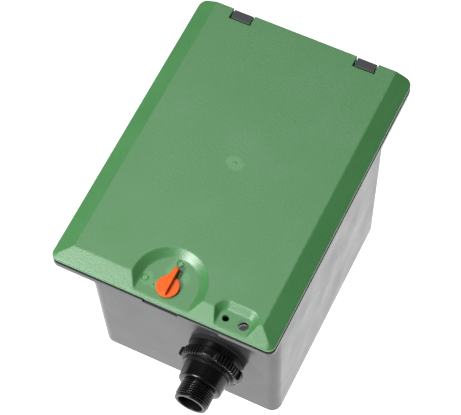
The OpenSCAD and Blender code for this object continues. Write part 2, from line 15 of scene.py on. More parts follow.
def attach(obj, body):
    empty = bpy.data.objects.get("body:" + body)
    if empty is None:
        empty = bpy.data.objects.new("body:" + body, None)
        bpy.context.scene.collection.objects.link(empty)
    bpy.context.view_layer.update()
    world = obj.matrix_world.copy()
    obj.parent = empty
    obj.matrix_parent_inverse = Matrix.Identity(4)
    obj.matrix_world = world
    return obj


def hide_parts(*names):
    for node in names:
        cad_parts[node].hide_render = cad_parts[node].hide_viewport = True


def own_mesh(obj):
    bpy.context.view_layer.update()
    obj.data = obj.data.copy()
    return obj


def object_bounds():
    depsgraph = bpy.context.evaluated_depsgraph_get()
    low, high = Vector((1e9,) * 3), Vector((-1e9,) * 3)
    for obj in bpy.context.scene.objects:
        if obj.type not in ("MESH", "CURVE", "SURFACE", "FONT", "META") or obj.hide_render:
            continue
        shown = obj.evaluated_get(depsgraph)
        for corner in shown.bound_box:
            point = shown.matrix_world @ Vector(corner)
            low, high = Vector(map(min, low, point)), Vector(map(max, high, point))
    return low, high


MM = 0.001

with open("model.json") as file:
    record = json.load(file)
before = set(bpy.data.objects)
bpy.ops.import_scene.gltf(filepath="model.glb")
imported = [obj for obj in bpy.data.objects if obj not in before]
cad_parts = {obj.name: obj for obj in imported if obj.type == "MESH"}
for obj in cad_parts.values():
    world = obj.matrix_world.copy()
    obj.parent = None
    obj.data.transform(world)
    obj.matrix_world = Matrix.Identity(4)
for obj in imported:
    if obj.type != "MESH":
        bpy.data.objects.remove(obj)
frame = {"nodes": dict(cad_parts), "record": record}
cad_low, cad_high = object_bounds()


# ---------- camera, light and floor ----------

AZIMUTH = math.radians(29.13)
ELEVATION = math.radians(61.59)
ROLL = math.radians(3.5)
CAMERA_DISTANCE = 1.303
LENS = 146.05
SENSOR_WIDTH = 36.0
AIM = Vector((0.0109, -0.0300, 0.1792))
LID_MIDDLE = (0, 0, 0.18)
SURROUNDINGS = 0.05
FLOOR_GLOW = 1.55
FLOOR_REACH = 6.0
FLOOR_GAP = 0.0005


def make_camera():
    """Camera to the right of the front, high above the lid, rolled a little."""
    back = Vector((
        math.sin(AZIMUTH) * math.cos(ELEVATION),
        -math.cos(AZIMUTH) * math.cos(ELEVATION),
        math.sin(ELEVATION),
    ))
    level = Vector((math.cos(AZIMUTH), math.sin(AZIMUTH), 0.0))
    upright = back.cross(level)
    right = level * math.cos(ROLL) - upright * math.sin(ROLL)
    up = back.cross(right)
    data = bpy.data.cameras.new("camera")
    data.lens = LENS
    data.sensor_width = SENSOR_WIDTH
    data.clip_start = 0.01
    data.clip_end = 50.0
    camera = bpy.data.objects.new("camera", data)
    bpy.context.scene.collection.objects.link(camera)
    turn = Matrix((right, up, back)).transposed().to_4x4()
    camera.matrix_world = Matrix.Translation(AIM + back * CAMERA_DISTANCE) @ turn
    bpy.context.scene.camera = camera


def area_light(name, place, aim, size, power):
    """Square soft white light at a place, turned towards a point."""
    data = bpy.data.lights.new(name, "AREA")
    data.shape = "SQUARE"
    data.size = size
    data.energy = power
    light = bpy.data.objects.new(name, data)
    bpy.context.scene.collection.objects.link(light)
    light.location = place
    light.rotation_euler = (Vector(aim) - Vector(place)).to_track_quat("-Z", "Y").to_euler()


def make_studio():
    """Glowing white floor, faint white surroundings, and soft lights from the left."""
    world = bpy.data.worlds.new("studio")
    world.use_nodes = True
    world.node_tree.nodes["Background"].inputs["Color"].default_value = (1.0, 1.0, 1.0, 1.0)
    world.node_tree.nodes["Background"].inputs["Strength"].default_value = SURROUNDINGS
    bpy.context.scene.world = world
    bpy.context.scene.view_settings.view_transform = "Standard"

    area_light("key", (-0.83, -1.2, 1.35), LID_MIDDLE, 0.5, 36)
    area_light("strip_front", (-0.46, -0.5, 1.95), LID_MIDDLE, 0.7, 7)
    area_light("strip_back", (-0.46, 0.65, 1.95), LID_MIDDLE, 0.9, 7)

    mesh = bpy.data.meshes.new("floor")
    r = FLOOR_REACH
    mesh.from_pydata([(-r, -r, 0), (r, -r, 0), (r, r, 0), (-r, r, 0)], [], [(0, 1, 2, 3)])
    floor = bpy.data.objects.new("floor", mesh)
    floor.location.z = cad_low.z - FLOOR_GAP
    bpy.context.scene.collection.objects.link(floor)
    white = bpy.data.materials.new("floor")
    white.use_nodes = True
    shader = white.node_tree.nodes["Principled BSDF"]
    shader.inputs["Base Color"].default_value = (0.0, 0.0, 0.0, 1.0)
    shader.inputs["Specular IOR Level"].default_value = 0.0
    shader.inputs["Emission Color"].default_value = (1.0, 1.0, 1.0, 1.0)
    shader.inputs["Emission Strength"].default_value = FLOOR_GLOW
    mesh.materials.append(white)


# ---------- materials ----------

def add_node(tree, kind, **inputs):
    """New shader node with some of its inputs set."""
    made = tree.nodes.new(kind)
    for name, value in inputs.items():
        made.inputs[name.replace("_", " ")].default_value = value
    return made


def moulded(name, colour, roughness, grain, relief, mottle, specular=0.5, edge_wear_and_highlight=0.0):
    """Moulded plastic: fine eroded grain, slightly uneven colour and gloss, and lighter edges that are scuff
    wear on the green plastic and a painted highlight on the crests of the black one.

    grain is the size of the grain in millimetres, relief its depth as bump strength.
    """
    material = bpy.data.materials.new(name)
    material.use_nodes = True
    tree = material.node_tree
    shader = tree.nodes["Principled BSDF"]
    shader.inputs["Specular IOR Level"].default_value = specular
    place = tree.nodes.new("ShaderNodeTexCoord")

    fine = add_node(tree, "ShaderNodeTexNoise", Scale=1000 / grain, Detail=3.0, Roughness=0.6)
    broad = add_node(tree, "ShaderNodeTexNoise", Scale=28.0, Detail=4.0, Roughness=0.55)
    for texture in (fine, broad):
        tree.links.new(place.outputs["Object"], texture.inputs["Vector"])

    # Colour: light and dark tones of the base, mixed by both noises
    blend = tree.nodes.new("ShaderNodeMath")
    blend.operation = "MULTIPLY_ADD"
    blend.inputs[1].default_value = 0.5
    tree.links.new(fine.outputs["Fac"], blend.inputs[0])
    half = tree.nodes.new("ShaderNodeMath")
    half.operation = "MULTIPLY"
    half.inputs[1].default_value = 0.5
    tree.links.new(broad.outputs["Fac"], half.inputs[0])
    tree.links.new(half.outputs[0], blend.inputs[2])
    tones = tree.nodes.new("ShaderNodeValToRGB")
    tones.color_ramp.elements[0].position = 0.3
    tones.color_ramp.elements[1].position = 0.7
    tones.color_ramp.elements[0].color = (*[c * (1 - mottle) for c in colour], 1.0)
    tones.color_ramp.elements[1].color = (*[min(1.0, c * (1 + mottle)) for c in colour], 1.0)
    tree.links.new(blend.outputs[0], tones.inputs["Fac"])
    surface = tones.outputs["Color"]

    # Edges painted a little lighter: scuff wear on the green plastic, a painted highlight along thread and
    # tooth crests on the black one
    if edge_wear_and_highlight:
        geometry = tree.nodes.new("ShaderNodeNewGeometry")
        edge = add_node(tree, "ShaderNodeMapRange", From_Min=0.52, From_Max=0.62, To_Min=0.0, To_Max=edge_wear_and_highlight)
        tree.links.new(geometry.outputs["Pointiness"], edge.inputs["Value"])
        edge_lightening = tree.nodes.new("ShaderNodeMix")
        edge_lightening.data_type = "RGBA"
        factor, base, lighter_edge, result = 0, 6, 7, 2
        edge_lightening.inputs[lighter_edge].default_value = (*[min(1.0, c * 1.6 + 0.05) for c in colour], 1.0)
        tree.links.new(edge.outputs["Result"], edge_lightening.inputs[factor])
        tree.links.new(surface, edge_lightening.inputs[base])
        surface = edge_lightening.outputs[result]
    tree.links.new(surface, shader.inputs["Base Color"])

    # Gloss: a little uneven
    gloss = add_node(tree, "ShaderNodeMapRange", From_Min=0.3, From_Max=0.7,
                     To_Min=roughness - 0.05, To_Max=roughness + 0.05)
    tree.links.new(broad.outputs["Fac"], gloss.inputs["Value"])
    tree.links.new(gloss.outputs["Result"], shader.inputs["Roughness"])

    bump = add_node(tree, "ShaderNodeBump", Strength=relief, Distance=grain * 0.25 * MM)
    tree.links.new(fine.outputs["Fac"], bump.inputs["Height"])
    tree.links.new(bump.outputs["Normal"], shader.inputs["Normal"])
    return material


def metal(name, colour, roughness):
    """Stainless steel with fine noise in its colour and an uneven polish."""
    material = bpy.data.materials.new(name)
    material.use_nodes = True
    tree = material.node_tree
    shader = tree.nodes["Principled BSDF"]
    shader.inputs["Metallic"].default_value = 1.0
    place = tree.nodes.new("ShaderNodeTexCoord")
    fine = add_node(tree, "ShaderNodeTexNoise", Scale=900.0, Detail=2.0)
    tree.links.new(place.outputs["Object"], fine.inputs["Vector"])
    tones = tree.nodes.new("ShaderNodeValToRGB")
    tones.color_ramp.elements[0].color = (*[c * 0.85 for c in colour], 1.0)
    tones.color_ramp.elements[1].color = (*colour, 1.0)
    tree.links.new(fine.outputs["Fac"], tones.inputs["Fac"])
    tree.links.new(tones.outputs["Color"], shader.inputs["Base Color"])
    gloss = add_node(tree, "ShaderNodeMapRange", To_Min=roughness - 0.08, To_Max=roughness + 0.08)
    tree.links.new(fine.outputs["Fac"], gloss.inputs["Value"])
    tree.links.new(gloss.outputs["Result"], shader.inputs["Roughness"])
    return material


PLASTICS = {
    "green_plastic": dict(colour=(0.068, 0.25, 0.078), roughness=0.4, grain=1.1, relief=0.5,
                          mottle=0.05, specular=0.9, edge_wear_and_highlight=0.3),
    "grey_plastic": dict(colour=(0.05, 0.051, 0.055), roughness=0.3, grain=0.9, relief=0.10, mottle=0.04),
    "dark_plastic": dict(colour=(0.055, 0.06, 0.062), roughness=0.55, grain=0.5, relief=0.25, mottle=0.12),
    # The black plastic's lighter edges are a painted highlight on thread and tooth crests
    "black_plastic": dict(colour=(0.0035, 0.0036, 0.004), roughness=0.24, grain=0.8, relief=0.06,
                          mottle=0.2, specular=0.36, edge_wear_and_highlight=0.7),
    "orange_plastic": dict(colour=(1.0, 0.135, 0.012), roughness=0.45, grain=0.7, relief=0.06,
                           mottle=0.05, specular=0.3),
    "white_plastic": dict(colour=(0.7, 0.7, 0.66), roughness=0.45, grain=0.6, relief=0.08, mottle=0.03),
    "rubber": dict(colour=(0.012, 0.012, 0.013), roughness=0.75, grain=0.35, relief=0.4, mottle=0.25),
    "board": dict(colour=(0.02, 0.13, 0.05), roughness=0.3, grain=0.3, relief=0.05, mottle=0.1),
    "battery_case": dict(colour=(0.02, 0.02, 0.024), roughness=0.35, grain=0.9, relief=0.05, mottle=0.1),
}


def make_materials():
    made = {name: moulded(name, **facts) for name, facts in PLASTICS.items()}
    made["steel"] = metal("steel", (0.62, 0.63, 0.65), 0.3)
    return made


# ---------- outlines ----------

def arc_corner(before, corner, after, radius, segments):
    """Points of the arc that rounds one corner of an outline."""
    into = (corner - before).normalized()
    out = (after - corner).normalized()
    turn = math.atan2(into.x * out.y - into.y * out.x, into.dot(out))
    reach = radius * math.tan(abs(turn) / 2)
    side = 1 if turn > 0 else -1
    start = corner - into * reach
    centre = start + Vector((-into.y, into.x)) * radius * side
    arm = start - centre
    points = []
    for i in range(segments + 1):
        a = turn * i / segments
        points.append(centre + Vector((arm.x * math.cos(a) - arm.y * math.sin(a),
                                       arm.x * math.sin(a) + arm.y * math.cos(a))))
    return points


def outline(corners, inset=0.0, segments=8, step=None):
    """Closed anticlockwise outline from (x, y, radius) corners, every edge moved inwards by inset.

    Straight runs are divided every step of the outline's full size, so outlines that differ only in
    inset have the same number of points and join ring by ring.
    """
    count = len(corners)
    spots = [Vector((x, y)) for x, y, _ in corners]
    moved, radii = [], []
    for i in range(count):
        into = (spots[i] - spots[i - 1]).normalized()
        out = (spots[(i + 1) % count] - spots[i]).normalized()
        cross = into.x * out.y - into.y * out.x
        along = inset * (1 - into.dot(out)) / cross
        moved.append(spots[i] + Vector((-into.y, into.x)) * inset - into * along)
        radii.append(max(0.05, corners[i][2] - inset if cross > 0 else corners[i][2] + inset))
    arcs = [arc_corner(moved[i - 1], moved[i], moved[(i + 1) % count], radii[i], segments)
            for i in range(count)]
    points = []
    for i in range(count):
        points += arcs[i]
        if step:
            full = (spots[(i + 1) % count] - spots[i]).length
            parts = max(1, round(full / step))
            start, end = arcs[i][-1], arcs[(i + 1) % count][0]
            points += [start.lerp(end, k / parts) for k in range(1, parts)]
    return points


def box_corners(width, length, radius, x, y):
    """Corners of a rounded rectangle centred at x, y."""
    w, h = width / 2, length / 2
    return [(x - w, y - h, radius), (x + w, y - h, radius), (x + w, y + h, radius), (x - w, y + h, radius)]


def circle(radius, x, y, count=40):
    """Closed circle of points round x, y."""
    return [Vector((x + radius * math.cos(math.tau * i / count), y + radius * math.sin(math.tau * i / count)))
            for i in range(count)]


# ---------- mesh helpers ----------

def finish_mesh(name, points, faces, material):
    """Object from points in millimetres, with outward normals."""
    mesh = bpy.data.meshes.new(name)
    mesh.from_pydata([(x * MM, y * MM, z * MM) for x, y, z in points], [], faces)
    work = bmesh.new()
    work.from_mesh(mesh)
    bmesh.ops.remove_doubles(work, verts=work.verts, dist=0.002 * MM)
    bmesh.ops.dissolve_degenerate(work, edges=work.edges, dist=0.001 * MM)
    bmesh.ops.recalc_face_normals(work, faces=work.faces)
    work.to_mesh(mesh)
    work.free()
    for face in mesh.polygons:
        face.use_smooth = True
    mesh.materials.append(material)
    made = bpy.data.objects.new(name, mesh)
    bpy.context.scene.collection.objects.link(made)
    return made


def ring_faces(first, second, count):
    """Quads between two rings of points that start at these indices."""
    return [(first + i, first + (i + 1) % count, second + (i + 1) % count, second + i) for i in range(count)]


def loft(name, rings, material, caps=True):
    """Closed skin through rings of points of equal count; caps close its first and last ring."""
    count = len(rings[0])
    points = [tuple(p) for ring in rings for p in ring]
    faces = []
    for k in range(len(rings) - 1):
        faces += ring_faces(k * count, (k + 1) * count, count)
    if caps:
        faces.append(tuple(reversed(range(count))))
        faces.append(tuple(range((len(rings) - 1) * count, len(rings) * count)))
    else:
        faces += ring_faces((len(rings) - 1) * count, 0, count)
    return finish_mesh(name, points, faces, material)


def rounded_profile(corners, segments=5):
    """Closed (r, z) profile from (r, z, fillet) corners."""
    count = len(corners)
    spots = [Vector((r, z)) for r, z, _ in corners]
    points = []
    for i in range(count):
        fillet = corners[i][2]
        if fillet:
            points += arc_corner(spots[i - 1], spots[i], spots[(i + 1) % count], fillet, segments)
        else:
            points.append(spots[i])
    return points


def lathe(name, corners, material, place, count=96):
    """Ring-shaped solid: the closed profile turned round +Z, then placed."""
    profile = rounded_profile(corners)
    rings = []
    for p in profile:
        rings.append([(p.x * math.cos(math.tau * i / count), p.x * math.sin(math.tau * i / count), p.y)
                      for i in range(count)])
    made = loft(name, rings, material, caps=False)
    made.data.transform(place)
    return made


def block(name, corners, z0, z1, material):
    """Upright prism over an outline."""
    base = outline(corners, segments=6)
    return loft(name, [[(p.x, p.y, z0) for p in base], [(p.x, p.y, z1) for p in base]], material)


def smooth_by_angle(target, degrees=35.0):
    """Keeps edges sharper than an angle crisp; the rest stay smooth."""
    work = bmesh.new()
    work.from_mesh(target.data)
    for edge in work.edges:
        edge.smooth = len(edge.link_faces) != 2 or edge.calc_face_angle(0.0) < math.radians(degrees)
    work.to_mesh(target.data)
    work.free()


def smooth_min(a, b, blend):
    """Lower of two heights, rounded over where they cross."""
    h = max(blend - abs(a - b), 0.0) / blend
    return min(a, b) - h * h * blend * 0.25


def smooth_max(a, b, blend):
    """Higher of two heights, rounded under where they cross."""
    return -smooth_min(-a, -b, blend)


def refine(height, x0, y0, x1, y1, cell, finest, tolerance):
    """Corner points of a grid that divides itself wherever the height isn't flat."""
    known = {}

    def at(x, y):
        key = (round(x, 4), round(y, 4))
        if key not in known:
            known[key] = height(x, y)
        return known[key]

    def divide(x, y, w, h):
        xm, ym = x + w / 2, y + h / 2
        a, b, c, d = at(x, y), at(x + w, y), at(x, y + h), at(x + w, y + h)
        probes = ((xm, ym, (a + b + c + d) / 4), (xm, y, (a + b) / 2), (x, ym, (a + c) / 2),
                  (x + w, ym, (b + d) / 2), (xm, y + h, (c + d) / 2))
        error = max(abs(height(px, py) - flat) for px, py, flat in probes)
        big = w > 4.1
        if (error > tolerance or big) and w / 2 >= finest:
            for px in (x, xm):
                for py in (y, ym):
                    divide(px, py, w / 2, h / 2)

    columns = max(1, round((x1 - x0) / cell))
    rows = max(1, round((y1 - y0) / cell))
    w, h = (x1 - x0) / columns, (y1 - y0) / rows
    for i in range(columns):
        for j in range(rows):
            divide(x0 + i * w, y0 + j * h, w, h)
    return list(known)


def inside(x, y, loop):
    """True if a point lies inside a closed loop."""
    result = False
    for k in range(len(loop)):
        ax, ay = loop[k - 1]
        bx, by = loop[k]
        if (ay > y) != (by > y) and x < ax + (y - ay) / (by - ay) * (bx - ax):
            result = not result
    return result


def fill_region(edge, holes, points, margin):
    """Triangles of the area between an edge loop and its holes, through the given points.

    Returns (list of 2D points, list of faces): edge and hole points come first, in order.
    """
    loops = [[(p.x, p.y) for p in edge]] + [[(p.x, p.y) for p in hole] for hole in holes]
    flat, links = [], []
    for loop in loops:
        start = len(flat)
        flat += loop
        links += [(start + i, start + (i + 1) % len(loop)) for i in range(len(loop))]
    cells = {}
    for x, y in flat:
        cells.setdefault((math.floor(x / margin), math.floor(y / margin)), []).append((x, y))

    def near(x, y):
        cx, cy = math.floor(x / margin), math.floor(y / margin)
        for i in (-1, 0, 1):
            for j in (-1, 0, 1):
                for px, py in cells.get((cx + i, cy + j), ()):
                    if (px - x) ** 2 + (py - y) ** 2 < margin * margin:
                        return True
        return False

    # Where each row of points crosses the loops
    bars = sorted({round(y, 4) for _, y in points})
    spans = {}
    for y in bars:
        cuts = []
        for loop in loops:
            for k in range(len(loop)):
                ax, ay = loop[k - 1]
                bx, by = loop[k]
                if (ay > y) != (by > y):
                    cuts.append(ax + (y - ay) / (by - ay) * (bx - ax))
        spans[y] = sorted(cuts)
    for x, y in points:
        cuts = spans[round(y, 4)]
        left = sum(1 for c in cuts if c < x)
        if left % 2 and not near(x, y):
            flat.append((x, y))
    result = delaunay_2d_cdt([Vector(p) for p in flat], links, [], 1, 1e-6)
    out, faces = result[0], result[2]
    kept = []
    for face in faces:
        cx = sum(out[i].x for i in face) / 3
        cy = sum(out[i].y for i in face) / 3
        if not any(inside(cx, cy, loop) for loop in loops[1:]):
            kept.append(tuple(face))
    return out, kept


# ---------- lid ----------

LID_BOTTOM, RIM_Z, LID_TOP = 178.0, 180.2, 185.5
HALF_W, HALF_L = 85.0, 118.0
BEVEL = 12.9
LID_SHELL = 2.5
CORNER_R = 5.5
RECESS_Z = 181.2
RECESS_RISE = 4.3
LOCK_Y, RECESS_Y = -104.5, -102.5
LOCK_FLOOR_R, LOCK_WALL_RUN = 20.8, 6.2
CABLE_X = 52.4
CABLE_FLOOR_HALF, CABLE_FLOOR_Y, CABLE_CORNER = 7.6, -106.9, 4.5
CABLE_WALL_RUN, CABLE_WALL_LEAN = 4.4, 0.8
FOOT_BLEND, EDGE_BLEND, TOP_BLEND = 0.7, 0.45, 0.3
PAN_WALL = 2.4
# Marks in the floor of the lock's recess: x, y
OPEN_MARK, SHUT_MARK = (0.0, -84.8), (-17.6, -104.0)
BAR_MARK, DOT_MARK = (2.9, -92.8), (-9.6, -106.3)
# Areas with a fine grid, for the marks and the moulding mark in the middle: x, y, half width
FINE_AREAS = ((*OPEN_MARK, 3.4), (*SHUT_MARK, 3.2), (*BAR_MARK, 3.6), (*DOT_MARK, 1.5), (0, 0, 3))
# Holes: x, y, radius
LID_HOLES = ((0.0, LOCK_Y, 4.05), (45.75, -108.4, 2.4), (59.05, -108.4, 3.6))
LID_CORNERS = [
    (-HALF_W, -HALF_L, CORNER_R), (HALF_W, -HALF_L, CORNER_R), (HALF_W, HALF_L, CORNER_R),
    (58, HALF_L, 0.5), (58, 109, 0.6), (41, 109, 0.6), (41, HALF_L, 0.5),
    (-41, HALF_L, 0.5), (-41, 109, 0.6), (-58, 109, 0.6), (-58, HALF_L, 0.5),
    (-HALF_W, HALF_L, CORNER_R),
]


class Skin:
    """Collects rings and filled areas that meet edge to edge and become one closed mesh."""

    def __init__(self):
        self.points = []
        self.faces = []

    def wall(self, rings):
        start = len(self.points)
        count = len(rings[0])
        for ring in rings:
            self.points += ring
        for k in range(len(rings) - 1):
            self.faces += ring_faces(start + k * count, start + (k + 1) * count, count)

    def area(self, edge, holes, grid, margin, height):
        flat, faces = fill_region(edge, holes, grid, margin)
        start = len(self.points)
        self.points += [(p.x, p.y, height(p.x, p.y)) for p in flat]
        self.faces += [tuple(start + i for i in face) for face in faces]

    def make(self, name, material):
        return finish_mesh(name, self.points, self.faces, material)


def groove(distance, width, depth):
    """Depth of a round-bottomed line at a distance from its middle."""
    part = min(1.0, abs(distance) / (width / 2))
    return depth * (1 - part * part)


def lid_marks(x, y):
    """Depth of the two position rings with their marks, engraved in the floor of the lock's recess."""
    depth = 0.0
    for cx, cy in (OPEN_MARK, SHUT_MARK):
        depth = max(depth, groove(math.hypot(x - cx, y - cy) - 2.3, 0.9, 0.5))
    u, v = abs(x - BAR_MARK[0]) - 0.7, abs(y - BAR_MARK[1]) - 1.9
    bar = math.hypot(max(u, 0), max(v, 0)) + min(max(u, v), 0) - 0.6
    depth = max(depth, groove(bar, 0.8, 0.5))
    return max(depth, groove(math.hypot(x - DOT_MARK[0], y - DOT_MARK[1]), 1.7, 0.45))


def lid_height(x, y):
    """Height of the lid's upper face: flat top, bevel on three sides, two recesses open to the front."""
    slope = (LID_TOP - RIM_Z) / BEVEL
    front, side = y + HALF_L, HALF_W - abs(x)
    if front < CORNER_R and side < CORNER_R:
        from_edge = CORNER_R - math.hypot(CORNER_R - front, CORNER_R - side)
    else:
        from_edge = smooth_min(front, side, min(0.7, 0.02 + 0.1 * max(0.0, front + side - 11)))
    height = smooth_min(LID_TOP, RIM_Z + slope * from_edge, TOP_BLEND)
    arch = math.hypot(x, y - RECESS_Y) if y > RECESS_Y else abs(x)
    lock = smooth_max(RECESS_Z, RECESS_Z + (arch - LOCK_FLOOR_R) * RECESS_RISE / LOCK_WALL_RUN, FOOT_BLEND)
    u, v = abs(x - CABLE_X) - CABLE_FLOOR_HALF, y - CABLE_FLOOR_Y
    if u > 0 and v > 0:
        reach, lean = math.hypot(u, v) - CABLE_CORNER, v * v / (u * u + v * v)
    else:
        reach, lean = max(u, v) - CABLE_CORNER, float(v > u)
    run = CABLE_WALL_RUN + CABLE_WALL_LEAN * lean
    cable = smooth_max(RECESS_Z, RECESS_Z + reach * RECESS_RISE / run, FOOT_BLEND)
    height = smooth_min(height, min(lock, cable), EDGE_BLEND)
    if math.hypot(x, y) < 3:
        height += groove(math.hypot(x, y), 2.0, 0.2) - groove(math.hypot(x, y) - 1.9, 0.8, 0.05)
    if arch < LOCK_FLOOR_R and y > -112:
        height -= lid_marks(x, y)
    return height


def lid_ceiling(x, y):
    """Height of the lid's under face above the box."""
    slope = (LID_TOP - RIM_Z) / BEVEL
    height = min(LID_TOP, RIM_Z + slope * min(y + HALF_L, HALF_W - abs(x)))
    arch = math.hypot(x, y - RECESS_Y) if y > RECESS_Y else abs(x)
    lock = RECESS_Z + (arch - LOCK_FLOOR_R - PAN_WALL) * RECESS_RISE / LOCK_WALL_RUN
    height = min(height, max(RECESS_Z, lock))
    inward = max(abs(x - CABLE_X) - 14.5, y + 100.0)
    return min(height, max(RECESS_Z, RECESS_Z + inward * RECESS_RISE / 4.6)) - LID_SHELL


def fine_grid(x, y, half, step):
    """Square grid of points round a spot, a little off the outlines' own points."""
    count = round(2 * half / step)
    return [(x - half + i * step + 0.011, y - half + j * step + 0.007)
            for i in range(count + 1) for j in range(count + 1)]


def make_lid(material):
    """Lid shell: rim, holes, and upper and under faces that follow the two height functions."""
    fillet, run = 0.7, 2.0
    rings = []

    def ring(inset, height):
        loop = outline(LID_CORNERS, inset, 6, run)
        rings.append([(p.x, p.y, height(p.x, p.y)) for p in loop])

    ring(LID_SHELL, lid_ceiling)
    ring(LID_SHELL, lambda x, y: LID_BOTTOM + 0.2)
    ring(LID_SHELL - 0.2, lambda x, y: LID_BOTTOM)
    ring(0.4, lambda x, y: LID_BOTTOM)
    ring(0.1, lambda x, y: LID_BOTTOM + 0.1)
    ring(0.0, lambda x, y: LID_BOTTOM + 0.4)
    for k in range(6):
        a = math.pi / 2 * k / 5
        ring(fillet * (1 - math.cos(a)), lambda x, y, a=a: lid_height(x, y) - fillet * (1 - math.sin(a)))

    skin = Skin()
    skin.wall(rings)
    for x, y, r in LID_HOLES:
        bore = [[(p.x, p.y, lid_height(p.x, p.y) - drop) for p in circle(r + widen, x, y)]
                for widen, drop in ((0.3, 0.0), (0.08, 0.09), (0.0, 0.35))]
        bore.append([(p.x, p.y, lid_ceiling(p.x, p.y)) for p in circle(r, x, y)])
        skin.wall(bore)

    grid = refine(lid_height, -HALF_W, -HALF_L, HALF_W, HALF_L, 4, 0.45, 0.012)
    rough = refine(lid_ceiling, -HALF_W, -HALF_L, HALF_W, HALF_L, 4, 0.9, 0.05)
    for x, y, half in FINE_AREAS:
        grid = [p for p in grid if abs(p[0] - x) > half + 0.1 or abs(p[1] - y) > half + 0.1]
        grid += fine_grid(x, y, half, 0.2)
    tops = [circle(r + 0.3, x, y) for x, y, r in LID_HOLES]
    unders = [circle(r, x, y) for x, y, r in LID_HOLES]
    skin.area(outline(LID_CORNERS, fillet, 6, run), tops, grid, 0.2, lid_height)
    skin.area(outline(LID_CORNERS, LID_SHELL, 6, run), unders, rough, 0.3, lid_ceiling)
    lid = skin.make("lid_shell", material)
    smooth_by_angle(lid, 40)
    flats = lid.modifiers.new("flats", "WEIGHTED_NORMAL")
    flats.keep_sharp = True
    return lid


def make_lid_inside(material):
    """Ribs under the lid and the thick ends that hold the hinge pins."""
    rib_low, rib_high, rib_w = 180.5, 183.2, 1.6
    made = []
    for k, y in enumerate((-60, -20, 20, 60)):
        corners = box_corners(140, rib_w, 0.3, 0, y)
        made.append(block(f"lid_rib_across_{k}", corners, rib_low, rib_high, material))
    for k, x in enumerate((-48, -16, 16, 48)):
        corners = box_corners(rib_w, 178, 0.3, x, 17)
        made.append(block(f"lid_rib_along_{k}", corners, rib_low, rib_high, material))
    for k, x in enumerate((-61, -38, 38, 61)):
        corners = box_corners(5.8, 10.6, 0.5, x, 112.2)
        made.append(block(f"lid_ear_{k}", corners, LID_BOTTOM + 0.1, 183.4, material))
    for piece in made:
        smooth_by_angle(piece)
    return made


# ---------- lock knob ----------

KNOB_Z, KNOB_TOP, KNOB_R = 181.5, 183.5, 8.2
SHAFT_LOW, SHAFT_R = 175.0, 3.95
RIB_LOW, RIB_TOP = 183.3, 186.25
# Grip along the knob: y from its axis, height of the ridge, left edge
RIB_STATIONS = (
    (-7.5, RIB_LOW, -1.9), (-7.35, 184.6, -2.0), (-6.9, 185.6, -2.05), (-6.2, 186.1, -2.15),
    (-5.2, RIB_TOP, -2.2), (-2, RIB_TOP, -2.5), (1, RIB_TOP, -3.0), (4, RIB_TOP, -3.9),
    (6.5, RIB_TOP, -4.3), (8.5, RIB_TOP, -3.7), (11, RIB_TOP, -2.7), (13.4, RIB_TOP, -2.05),
    (14.3, 186.15, -1.95), (14.75, 185.8, -1.85), (15.0, 185.2, -1.7),
)


def make_knob(material):
    """Round disc on a shaft, with a pointed grip whose left flank is hollow."""
    disc = lathe("knob_disc", [
        (0.0, SHAFT_LOW, 0), (SHAFT_R, SHAFT_LOW, 0.3), (SHAFT_R, KNOB_Z, 0), (KNOB_R, KNOB_Z, 0.25),
        (KNOB_R, KNOB_TOP, 0.5), (0.0, KNOB_TOP, 0),
    ], material, Matrix.Translation((0, LOCK_Y * MM, 0)))
    foot = KNOB_Z + 0.1
    rings = []
    for y, top, left in RIB_STATIONS:
        shrink = 1 - 0.12 * (RIB_TOP - top) / (RIB_TOP - RIB_LOW)
        right, ridge = 1.75 * shrink, -1.35 * shrink
        ring = [(left, foot)]
        for k in range(1, 8):
            part = k / 8
            rise = min(1.0, 0.5 + 0.56 * part * part)
            ring.append((left + (ridge - left) * part, foot + (top - foot) * rise))
        ring += [(ridge + 0.25, top), (right - 0.45, top), (right - 0.13, top - 0.13),
                 (right, top - 0.45), (right, foot)]
        rings.append([(x, y + LOCK_Y, z) for x, z in ring])
    rib = loft("knob_rib", rings, material)
    smooth_by_angle(rib, 38)
    smooth_by_angle(disc, 38)
    return [disc, rib]


# ---------- pipe connectors ----------

PORT_X, PORT_Z = 28.5, 79.0

# Clamping nut: a skirt, then a head with teeth and four lobes
NUT_STEPS, NUT_TEETH, NUT_LOBES = 1200, 50, 4
NUT_START = 3.2
TOOTH_ROOT, TOOTH_H = 21.75, 1.15
LOBE_BASE, LOBE_H = 22.5, 2.3
HEAD_MIN = 20.8
# r, z from the nut's start
NUT_SKIRT = ((20.3, 0.0), (21.2, 0.0), (21.45, 0.25), (21.5, 0.6), (21.5, 5.7))
NUT_CLOSING = ((20.35, 13.2), (20.06, 12.9), (20.06, 0.3))
# How far the head is below its full radius, z from the nut's start
NUT_HEAD = (
    (1.1, 5.8), (0.55, 6.05), (0.18, 6.5), (0.0, 7.0),
    (0.0, 12.0), (0.18, 12.5), (0.5, 12.9), (1.0, 13.2),
)

# Telescopic tube: r, distance from the middle of the box
TUBE_OUTSIDE = (
    (13, 66), (17.5, 66), (17.7, 66.2), (17.7, 69.0), (14.7, 69.0), (14.7, 72.4), (17.7, 72.4),
    (17.7, 112.1), (17.66, 112.7), (16.92, 121.7), (16.9, 122.2), (16.9, 123.0), (16.8, 123.35),
    (16.5, 123.9), (16.2, 124.3), (15.9, 124.42), (12.4, 124.42), (11.95, 124.6), (11.95, 125.0),
)
TUBE_MOUTH = (
    (12.55, 137.5), (12.6, 137.9), (12.5, 138.6), (12.25, 138.93), (12.0, 139.0), (10.2, 139.0),
    (9.9, 138.88), (9.8, 138.6), (9.8, 124.0), (13.0, 119.0),
)
TUBE_SIDES = 128
THREAD_ROOT, THREAD_H, THREAD_PITCH = 11.95, 1.27, 1.814
THREAD_START, THREAD_END, THREAD_STEP = 125.1, 137.3, 0.13


